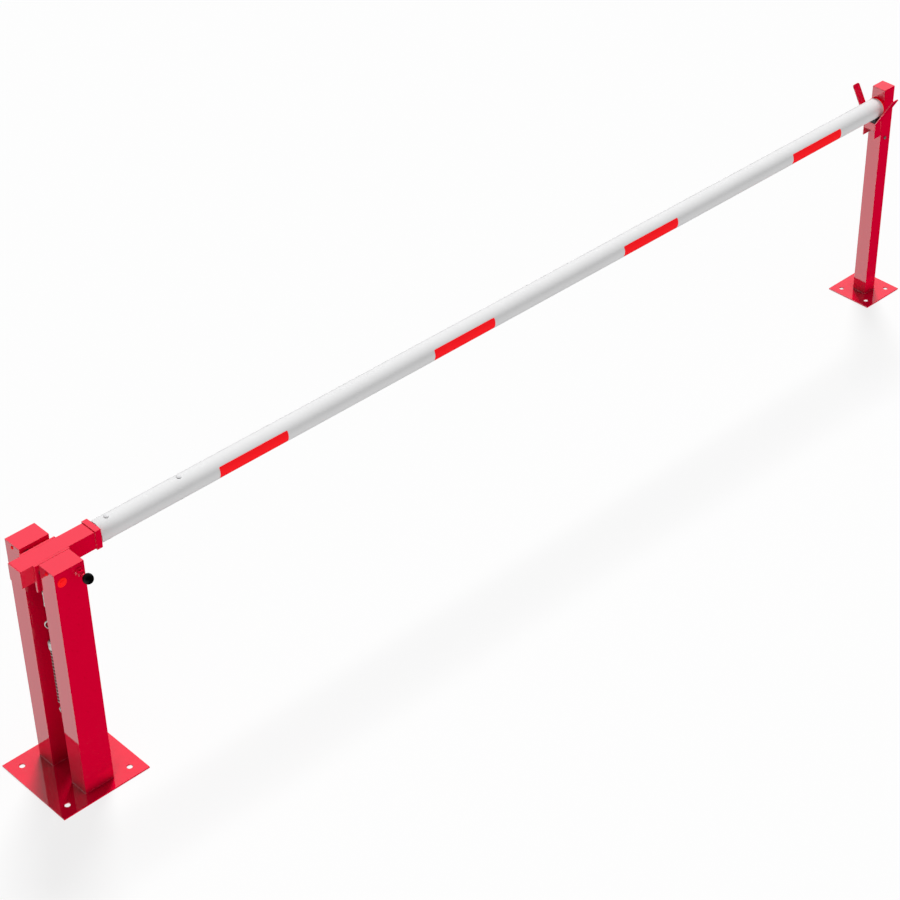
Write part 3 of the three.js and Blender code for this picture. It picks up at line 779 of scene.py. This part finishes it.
def boom_plug():
    low, high = edges("boom_end_plug")
    tube_end = BOOM_BOX[1].x * 1000
    face = high.x - tube_end
    flange = (high.z - low.z) / 2
    inside = BOOM_R - 3.6
    profile = [(0, -24), (inside - 2, -24), (inside, -22)]
    for z in (-20, -15, -10, -5):
        profile += [(inside, z), (inside + 0.5, z + 1.2), (inside, z + 2.4)]
    profile += [(inside, 0.3), (flange - 0.5, 0.3), (flange, 0.9), (flange, face - 1.2)]
    groove_out, groove_in = flange - 7, flange - 10
    profile += [(flange - 1.2, face), (groove_out, face), (groove_out - 0.6, face - 0.8)]
    profile += [(groove_in + 0.6, face - 0.8), (groove_in, face), (0, face)]
    mesh = lathe("plug", profile, aimed((tube_end, 0, BOOM_Z), (1, 0, 0)), 96)
    show("boom_end_plug_moulding", mesh, "red_plastic", "boom", "boom_end_plug", degrees=30)


def boom_bolt(label):
    """A round-head bolt down through the tube, with its nut underneath."""
    node = f"{label}_boom_bolt"
    low, high = edges(node)
    x = middle(node).x
    seat = BOOM_Z + BOOM_R
    foot, rise = low.z - seat, high.z - seat
    head, shank, skirt = (high.x - low.x) / 2, 5.9, 0.7
    profile = [(0, foot), (3.6, foot), (4.6, foot + 1)]
    profile += threads(shank, foot + 1.2, foot + 24, 1.5)
    profile += [(shank, foot + 25), (shank, -0.2), (head - 0.4, -0.2), (head, 0.3)]
    for k in range(7):
        angle = math.pi / 2 * k / 7
        profile.append((head * math.cos(angle), skirt + (rise - skirt) * math.sin(angle)))
    profile += [(0, rise)]
    mesh = lathe("bolt", profile, aimed((x, 0, seat), (0, 0, 1)), 48)
    show(f"{label}_bolt_round_head", mesh, "white_bolt", "boom", node, degrees=28)

    node = f"{label}_boom_nut"
    low, high = edges(node)
    profile = hexagon(6.2, (high.x - low.x) / 2, high.z - low.z, edge=0.3, drop=1.5)
    mesh = lathe("nut", profile, aimed((x, 0, low.z), (0, 0, 1)), 6, ring=True)
    show(f"{label}_bolt_nut", mesh, "zinc_steel", "boom", node, degrees=20, bevel_mm=0.25)


boom_tube()
for index in range(1, 5):
    sticker(f"front_sticker_{index}")
    sticker(f"rear_sticker_{index}")
boom_plug()
boom_bolt("inner")
boom_bolt("outer")

# ------------------------------------------------------------------ pivot stand fittings


def pivot_plug(label, side):
    """A round cover with a dished ring and a raised middle."""
    node = f"{label}_pivot_plug"
    low, high = edges(node)
    at = middle(node)
    r, tall = (high.x - low.x) / 2, high.y - low.y
    seat = high.y if side < 0 else low.y
    profile = [(0, 0), (r - 0.3, 0), (r, 0.4), (r, 1.7), (r - 0.5, 2.4), (r - 1.6, 2.9)]
    profile += [(11.4, 3.2), (10.8, 2.9), (10.2, 2.1), (9.4, 2.1)]
    profile += [(9.0, 3.4), (8.4, tall - 0.8), (7.0, tall - 0.2), (4.0, tall), (0, tall)]
    mesh = lathe("plug", profile, aimed((at.x, seat, at.z), (0, side, 0)), 72)
    show(f"{label}_pivot_plug_moulding", mesh, "red_plastic", "stand", node, degrees=32)


def cap_screw(label):
    node = f"{label}_cap_screw"
    low, high = edges(node)
    at = middle(node)
    seat = edges(f"{label}_pillar")[0].x - 0.3
    head, rise, foot = (high.z - low.z) / 2, seat - low.x, seat - high.x
    profile = [(0, foot), (2.4, foot)] + threads(3.0, foot + 0.6, -0.6, 0.8)
    profile += [(3.0, 0), (head - 0.2, 0), (head, 0.5), (head * 0.94, 1.5)]
    profile += [(head * 0.76, rise - 0.7), (head * 0.52, rise - 0.2), (head * 0.4, rise)]
    profile += [(head * 0.38, rise - 1.2), (0, rise - 1.4)]
    mesh = lathe("screw", profile, aimed((seat, at.y, at.z), (-1, 0, 0)), 40)
    show(f"{label}_cap_screw_head", mesh, "red_plastic", "stand", node, degrees=35)


def thrust_washer(label):
    node = f"{label}_thrust_washer"
    shaft_low, shaft_high = edges("pivot_shaft")
    low, high = edges(node)
    at = middle(node)
    bore = (shaft_high.z - shaft_low.z) / 2 + 0.3
    r, thick, outer, inner = (high.x - low.x) / 2, high.y - low.y, 0.7, 0.4
    profile = [(bore, inner), (bore + inner, 0), (r - outer, 0), (r, outer)]
    profile += [(r, thick - outer), (r - outer, thick)]
    profile += [(bore + inner, thick), (bore, thick - inner)]
    mesh = lathe("washer", profile, aimed((at.x, low.y, at.z), (0, 1, 0)), 72, ring=True)
    show(f"{label}_thrust_washer_ring", mesh, "nylon", "stand", node, degrees=40)


def anchor_stud():
    """The stud that the spring's lower loop hangs on, waisted where the loop sits."""
    node = "spring_anchor_stud"
    low, high = edges(node)
    at = middle(node)
    r, head, rim, end = 6.0, 10.0, 9.0, high.y - low.y
    profile = [(0, 0), (head - 0.6, 0), (head, 0.8), (head, 6.9), (head - 0.6, 7.7), (r, 7.7)]
    profile += [(r, 16), (r + 0.6, 18), (r, 20), (r, end - 4.2)]
    profile += [(rim - 0.8, end - 3.9), (rim, end - 3), (rim, end - 1), (rim - 1, end)]
    profile += [(3, end), (2.4, end - 1.2), (0, end - 1.2)]
    mesh = lathe("stud", profile, aimed((at.x, low.y, at.z), (0, 1, 0)), 48)
    show("spring_anchor_stud_turned", mesh, "zinc_steel", "stand", node, degrees=30)


PIN_R = 5.0
SLEEVE_BORE = 5.35
PADLOCK_IN = 7.0  # from the sleeve's outer end to its padlock hole
PUSH = 12.0  # how far the plunger moves in
PIN_COLLAR_Y = -70.5


def upright_drill(radius, reach, at, y, sides):
    profile = [(0, -reach), (radius, -reach), (radius, reach), (0, reach)]
    return lathe("drill", profile, aimed((at.x, y, at.z), (0, 0, 1)), sides)


def plunger_sleeve(at):
    low, high = edges("plunger_sleeve")
    long = high.y - low.y
    r, flange = 11.0, (high.x - low.x) / 2
    profile = [(SLEEVE_BORE, 0.6), (SLEEVE_BORE + 0.6, 0), (r - 1, 0), (r, 1), (r, long - 5)]
    profile += [(r + 0.6, long - 4.2), (flange - 0.6, long - 4), (flange, long - 3.3)]
    profile += [(flange, long - 0.3), (flange - 0.3, long), (SLEEVE_BORE, long)]
    sleeve = lathe("sleeve", profile, aimed((at.x, low.y, at.z), (0, 1, 0)), 64, ring=True)
    sleeve = carve(sleeve, upright_drill(4.5, 20, at, low.y + PADLOCK_IN, 40))
    show("plunger_sleeve_turned", sleeve, "red_paint", "stand", "plunger_sleeve", degrees=30)


def plunger_pin(at):
    """The pin with its stop collar, and the paint on the neck that shows beside the ball."""
    low, high = edges("plunger_pin")
    sleeve_end = edges("plunger_sleeve")[0].y
    end, stop, collar = high.y - low.y, PIN_COLLAR_Y - low.y, 9.0
    profile = [(0, 0), (PIN_R - 0.4, 0), (PIN_R, 0.4), (PIN_R, stop), (collar - 0.4, stop)]
    profile += [(collar, stop + 0.4), (collar, stop + 3.6), (collar - 0.4, stop + 4)]
    profile += [(PIN_R, stop + 4), (PIN_R, end - 2.2), (3.4, end), (0, end)]
    along = aimed((at.x, low.y, at.z), (0, 1, 0))
    drill = upright_drill(2.5, 9, at, sleeve_end + PADLOCK_IN - PUSH, 24)
    pin = carve(lathe("pin", profile, along, 48), drill)
    show("plunger_pin_turned", pin, "zinc_steel", "plunger", "plunger_pin", degrees=30)

    neck, inner, outer = sleeve_end - low.y, PIN_R + 0.02, PIN_R + 0.2
    profile = [(inner, 1), (outer, 1.3), (outer, neck + 2), (inner, neck + 2.3)]
    paint = carve(lathe("paint", profile, along, 48, ring=True), drill)
    show("plunger_neck_paint", paint, "red_paint", "plunger", degrees=30)


def plunger_knob(steps=26):
    """A ball with a flat, round-rimmed face where the pin goes in."""
    low, high = edges("plunger_knob")
    ball, bore = (high.x - low.x) / 2, 5.4
    cut = math.acos(7.0 / ball)
    profile = [(0, -ball)]
    for k in range(1, steps + 1):
        angle = -math.pi / 2 + (math.pi / 2 + cut) * k / steps
        profile.append((ball * math.cos(angle), ball * math.sin(angle)))
    face = ball * math.sin(cut)
    profile += [(6.6, face + 0.35), (5.6, face + 0.35), (bore, face - 0.4), (bore, 5.6), (0, 5.6)]
    mesh = lathe("knob", profile, aimed(middle("plunger_knob"), (0, 1, 0)), 72)
    show("plunger_ball_knob", mesh, "black_plastic", "plunger", "plunger_knob", degrees=35)


pivot_plug("front", -1)
pivot_plug("rear", 1)
for label in ("front", "rear"):
    cap_screw(label)
for label in ("front", "rear"):
    thrust_washer(label)
anchor_stud()
plunger_sleeve(middle("plunger_pin"))
plunger_pin(middle("plunger_pin"))
plunger_knob()

# ------------------------------------------------------------------ spring and its tensioner

LINE_X = middle("tension_eye").x
UPRIGHT = Matrix.Translation((LINE_X, 0, 0))
LINK_TURN = UPRIGHT @ Matrix.Rotation(math.radians(-43), 4, "Z")


def threaded_eye(name, node, ring_r, opens, turned, wire=2.3, shank=3.5, steps=60):
    """A closed wire eye with a threaded shank, which runs up for opens = 1 and down for -1."""
    low, high = edges(node)
    z = (high.z if opens < 0 else low.z) + opens * (ring_r + wire)
    ring = []
    for k in range(steps):
        angle = 2 * math.pi * k / steps - math.pi / 2
        ring.append((0, ring_r * math.cos(angle), z + ring_r * math.sin(angle)))
    eye = sweep("eye", ring, [wire] * steps, 16, closed=True, matrix=turned)
    root = z + opens * ring_r
    reach = abs((low.z if opens < 0 else high.z) - root)
    profile = [(0, -0.5), (wire + 0.6, -0.5), (shank - 0.2, 2.0), (shank, 3.0), (shank, 6.0)]
    profile += threads(shank, 6.4, reach - 0.8, 1.0) + [(shank - 0.9, reach), (0, reach)]
    stem = lathe("stem", profile, turned @ aimed((0, 0, root), (0, 0, opens)), 32)
    show(name, merged(name, eye, stem), "zinc_steel", "tension_linkage", node, degrees=40)


def tensioner_body():
    """A slotted barrel that both threaded shanks screw into."""
    low, high = edges("tensioner_body")
    tall, r, bore = high.z - low.z, 10.0, 3.8
    lower = [(bore, 0.8), (bore + 0.8, 0), (r - 1.6, 0), (r, 1.6), (r, 9.5), (r - 0.8, 10.5)]
    profile = lower + [(radius, tall - z) for radius, z in reversed(lower)]
    barrel = lathe("barrel", profile, LINK_TURN @ aimed((0, 0, low.z), (0, 0, 1)), 56, ring=True)
    half, depth = 4.5, 20
    floor = ((-half, -depth), (half, -depth), (half, depth), (-half, depth))
    corners = [(x, y, z) for z in (low.z + 12, high.z - 12) for x, y in floor]
    sides = [(0, 3, 2, 1), (4, 5, 6, 7), (0, 1, 5, 4), (1, 2, 6, 5), (2, 3, 7, 6), (3, 0, 4, 7)]
    barrel = carve(barrel, build("slot", corners, sides, LINK_TURN))
    show(
        "tensioner_barrel", barrel, "zinc_steel", "tension_linkage", "tensioner_body",
        degrees=30, bevel_mm=0.2,
    )


def spring_hook(radius=15.0, wire=3.0, arc=260, steps=64):
    """A straight shank that eases into an open hook and thins at its tip."""
    low, high = edges("spring_hook")
    centre = high.z - radius - wire
    foot = centre - radius
    points = [(0, 0, low.z), (0, 0, low.z + 20), (0, 0, low.z + 40), (0, 0, foot - 16)]
    points += [(0.2, 0, foot - 10), (0.1, 0, foot - 5)]
    for k in range(steps + 1):
        angle = math.radians(-90 - arc * k / steps)
        points.append((radius * math.cos(angle), 0, centre + radius * math.sin(angle)))
    radii = [wire] * (len(points) - 3) + [wire * 0.94, wire * 0.82, wire * 0.55]
    mesh = sweep("hook", points, radii, 20, matrix=LINK_TURN)
    show("spring_hook_bent", mesh, "zinc_steel", "tension_linkage", "spring_hook", degrees=45)


def spring_top_plug():
    """A turned plug, grooved to take the coil's top turns."""
    low, high = edges("spring_top_plug")
    r = (high.x - low.x) / 2
    shoulder = low.z + 24
    top, foot = high.z - shoulder, low.z - shoulder
    bore, neck = 3.4, 8.5
    profile = [(bore, foot), (neck - 0.5, foot), (neck, foot + 0.6), (neck, 0)]
    profile += [(r - 2, 0), (r - 0.6, 0.8), (r, 2.6)]
    for z in (5, 9, 13, 17, 21):
        profile += [(r, z), (r - 0.5, z + 0.6), (r - 0.5, z + 1.2), (r, z + 1.8)]
    profile += [(r, top - 6), (r - 0.8, top - 4.4), (r - 4.2, top - 0.8)]
    profile += [(r - 5.4, top), (bore, top)]
    mesh = lathe("plug", profile, UPRIGHT @ aimed((0, 0, shoulder), (0, 0, 1)), 64, ring=True)
    show(
        "spring_top_plug_turned", mesh, "zinc_steel", "tension_linkage", "spring_top_plug",
        degrees=30,
    )


def eased(t):
    return t * t * (3 - 2 * t)


def balance_spring(wire=1.9, loop=10.0, mean=11.0, pitch=13.8):
    """One wire: a loop round the stud, a neck, a flare and the coil that the boom stretches."""
    stud = middle("spring_anchor_stud").z
    head = edges("balance_spring")[1].z - wire
    foot = stud + 31
    turns = round((head - foot) / pitch)
    points = []
    gap, loop_steps = 28, 40
    for k in range(loop_steps + 1):
        angle = math.radians(90 - gap - (360 - 2 * gap) * k / loop_steps)
        points.append(Vector((loop * math.cos(angle), 0, stud + loop * math.sin(angle))))

    start, neck_steps, neck_rise = points[-1], 10, stud + 18 - points[-1].z
    for k in range(1, neck_steps + 1):
        t = k / neck_steps
        climb = 0.35 * t + 0.65 * t * t
        points.append(Vector((start.x * (1 - eased(t)), 0, start.z + neck_rise * climb)))

    neck_top, flare, per_turn = stud + 20, 20, 44
    for k in range(1, flare + turns * per_turn + 1):
        out = min(k / flare, 1.0)
        angle = 2 * math.pi * (k - flare) / per_turn
        climbed = max(k - flare, 0) / (turns * per_turn)
        z = neck_top + (foot - neck_top) * out + (head - foot) * climbed
        r = mean * eased(out)
        points.append(Vector((r * math.cos(angle), r * math.sin(angle), z)))
    radii = [wire] * len(points)
    radii[0] = radii[-1] = wire * 0.8
    mesh = sweep("spring", points, radii, 12, matrix=UPRIGHT)
    obj = show("balance_spring_wire", mesh, "spring_wire", None, "balance_spring", degrees=60)
    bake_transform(obj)


threaded_eye("tension_eye_forged", "tension_eye", 9.0, -1, UPRIGHT)
threaded_eye("tension_link_forged", "tension_link", 10.0, 1, LINK_TURN)
tensioner_body()
spring_hook()
spring_top_plug()
balance_spring()

# ------------------------------------------------------------------ catch post fittings


def cross_bolt(bolt="post_cross_bolt", nut="post_cross_nut"):
    """A hex bolt through the catch post, with its nut on the far side."""
    low, high = edges(bolt)
    at = middle(bolt)
    corner = (high.x - low.x) / 2
    flat = corner * math.cos(math.pi / 6)
    seat = edges("catch_post")[0].y - 0.3
    tall, reach, r = seat - low.y, high.y - seat, 4.0
    profile = [(0, tall), (flat - 0.2, tall), (corner, tall - 1.2)]
    profile += [(corner, 0.4), (flat, 0), (0, 0)]
    head = lathe("head", profile, aimed((at.x, seat, at.z), (0, -1, 0)), 6)
    profile = [(0, 0), (r, 0), (r, reach - 24)] + threads(r, reach - 23.5, reach - 0.8, 1.25)
    profile += [(r - 1, reach), (0, reach)]
    shank = lathe("shank", profile, aimed((at.x, seat, at.z), (0, 1, 0)), 36)
    mesh = merged("bolt", head, shank)
    show("post_cross_bolt_hex", mesh, "zinc_steel", "stand", bolt, degrees=20)

    low, high = edges(nut)
    profile = hexagon(r + 0.3, corner, high.y - low.y, edge=0.2, drop=1.1)
    mesh = lathe("nut", profile, aimed((at.x, low.y, at.z), (0, 1, 0)), 6, ring=True)
    show("post_cross_bolt_nut", mesh, "zinc_steel", "stand", nut, degrees=20, bevel_mm=0.2)


cross_bolt()

# ------------------------------------------------------------------ weld beads

BEAD_STEP = 0.9
RIPPLE = 2.6


def bead(name, body, corners, radius, closed=True):
    """A rippled weld bead along straight runs between corners, in red paint."""
    corners = [Vector(corner) for corner in corners]
    following = corners[1:] + corners[:1] if closed else corners[1:]
    points, radii = [], []
    travelled = 0.0
    for a, b in zip(corners, following):
        long = (b - a).length
        steps = max(2, int(long / BEAD_STEP))
        for k in range(steps):
            phase = (travelled + long * k / steps) / RIPPLE
            swell = 0.92 + 0.10 * abs(math.sin(math.pi * phase)) + 0.03 * math.sin(phase * 1.7)
            points.append(a.lerp(b, k / steps))
            radii.append(radius * swell)
        travelled += long
    if not closed:
        points.append(corners[-1])
        radii.append(radius * 0.7)
        radii[0] = radius * 0.7
    show(name, sweep(name, points, radii, 10, closed), "red_paint", body, degrees=70)


def ring_bead(name, body, node, z, radius, out_x, out_y):
    """A bead round all four sides of node at height z, out_x and out_y clear of it."""
    low, high = edges(node)
    west, east = low.x - out_x, high.x + out_x
    south, north = low.y - out_y, high.y + out_y
    corners = [(west, south, z), (east, south, z), (east, north, z), (west, north, z)]
    bead(name, body, corners, radius)


def foot_bead(name, node, base, radius):
    ring_bead(name, "stand", node, edges(base)[1].z + 0.35, radius, 0.3, 0.3)


foot_bead("front_pillar_weld", "front_pillar", "pivot_base_plate", 1.5)
foot_bead("rear_pillar_weld", "rear_pillar", "pivot_base_plate", 1.5)
foot_bead("catch_post_weld", "catch_post", "catch_base_plate", 1.4)

FORK_WELD_Y, FORK_WELD_FROM, FORK_WELD_TO = 27.2, 743, 803
fork_x = edges("front_fork_side")[1].x + 0.8
for label, y in (("front", -FORK_WELD_Y), ("rear", FORK_WELD_Y)):
    ends = [(fork_x, y, FORK_WELD_FROM), (fork_x, y, FORK_WELD_TO)]
    bead(f"{label}_fork_weld", "stand", ends, 1.7, closed=False)

lug_top = edges("spring_lug")[1].z
ring_bead("spring_lug_weld", "boom", "spring_lug", lug_top - 0.1, 1.3, 0.0, 0.2)
